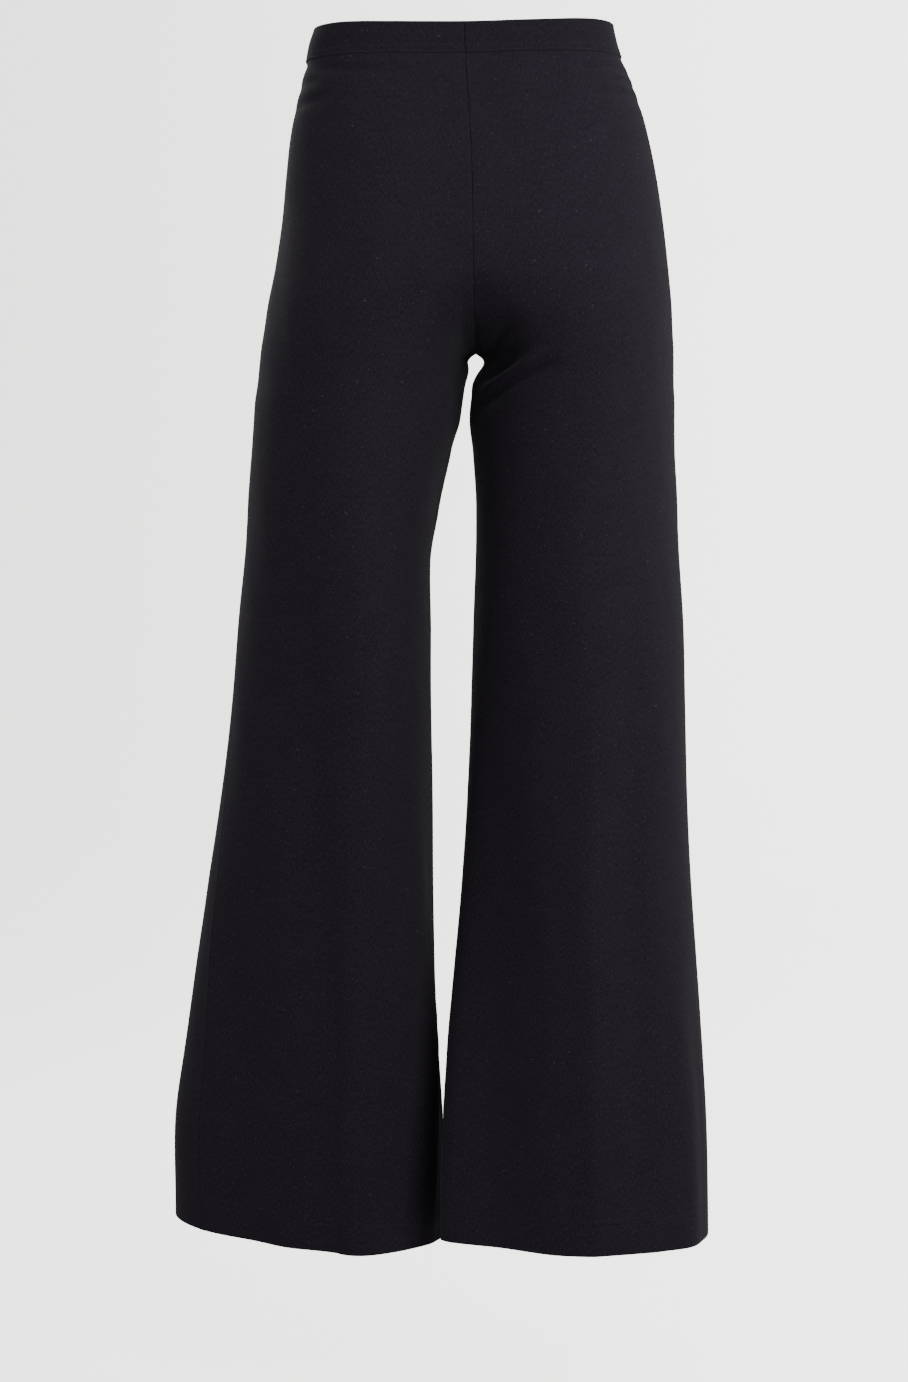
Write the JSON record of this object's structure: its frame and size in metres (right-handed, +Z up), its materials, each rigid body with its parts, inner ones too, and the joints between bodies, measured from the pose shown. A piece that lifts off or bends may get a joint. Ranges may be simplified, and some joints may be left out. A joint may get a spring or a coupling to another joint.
{
  "type": "palazzo pants",
  "caption": "High-waisted wide-leg palazzo pants in firm black knit, hollow as worn, with a narrow waistband, leg panels and turned-up hems.",
  "frame": {"origin": "centre of the waistband's ring at half its height, where the wearer's waist holds the garment", "axes": "+Z up along the body, the front faces -Y and the seat faces +Y, +X is the wearer's left"},
  "size_m": [0.4658, 0.2612, 1.0514],
  "materials": {
    "black_knit": "matt black double knit with a faint sheen and a fine heathered grain",
    "band_knit": "the same matt black double knit, doubled"
  },
  "bodies": {
    "root": {"waistband": "band_knit", "back_left": "black_knit", "back_right": "black_knit", "front_left": "black_knit", "front_right": "black_knit"}
  },
  "joints": []
}
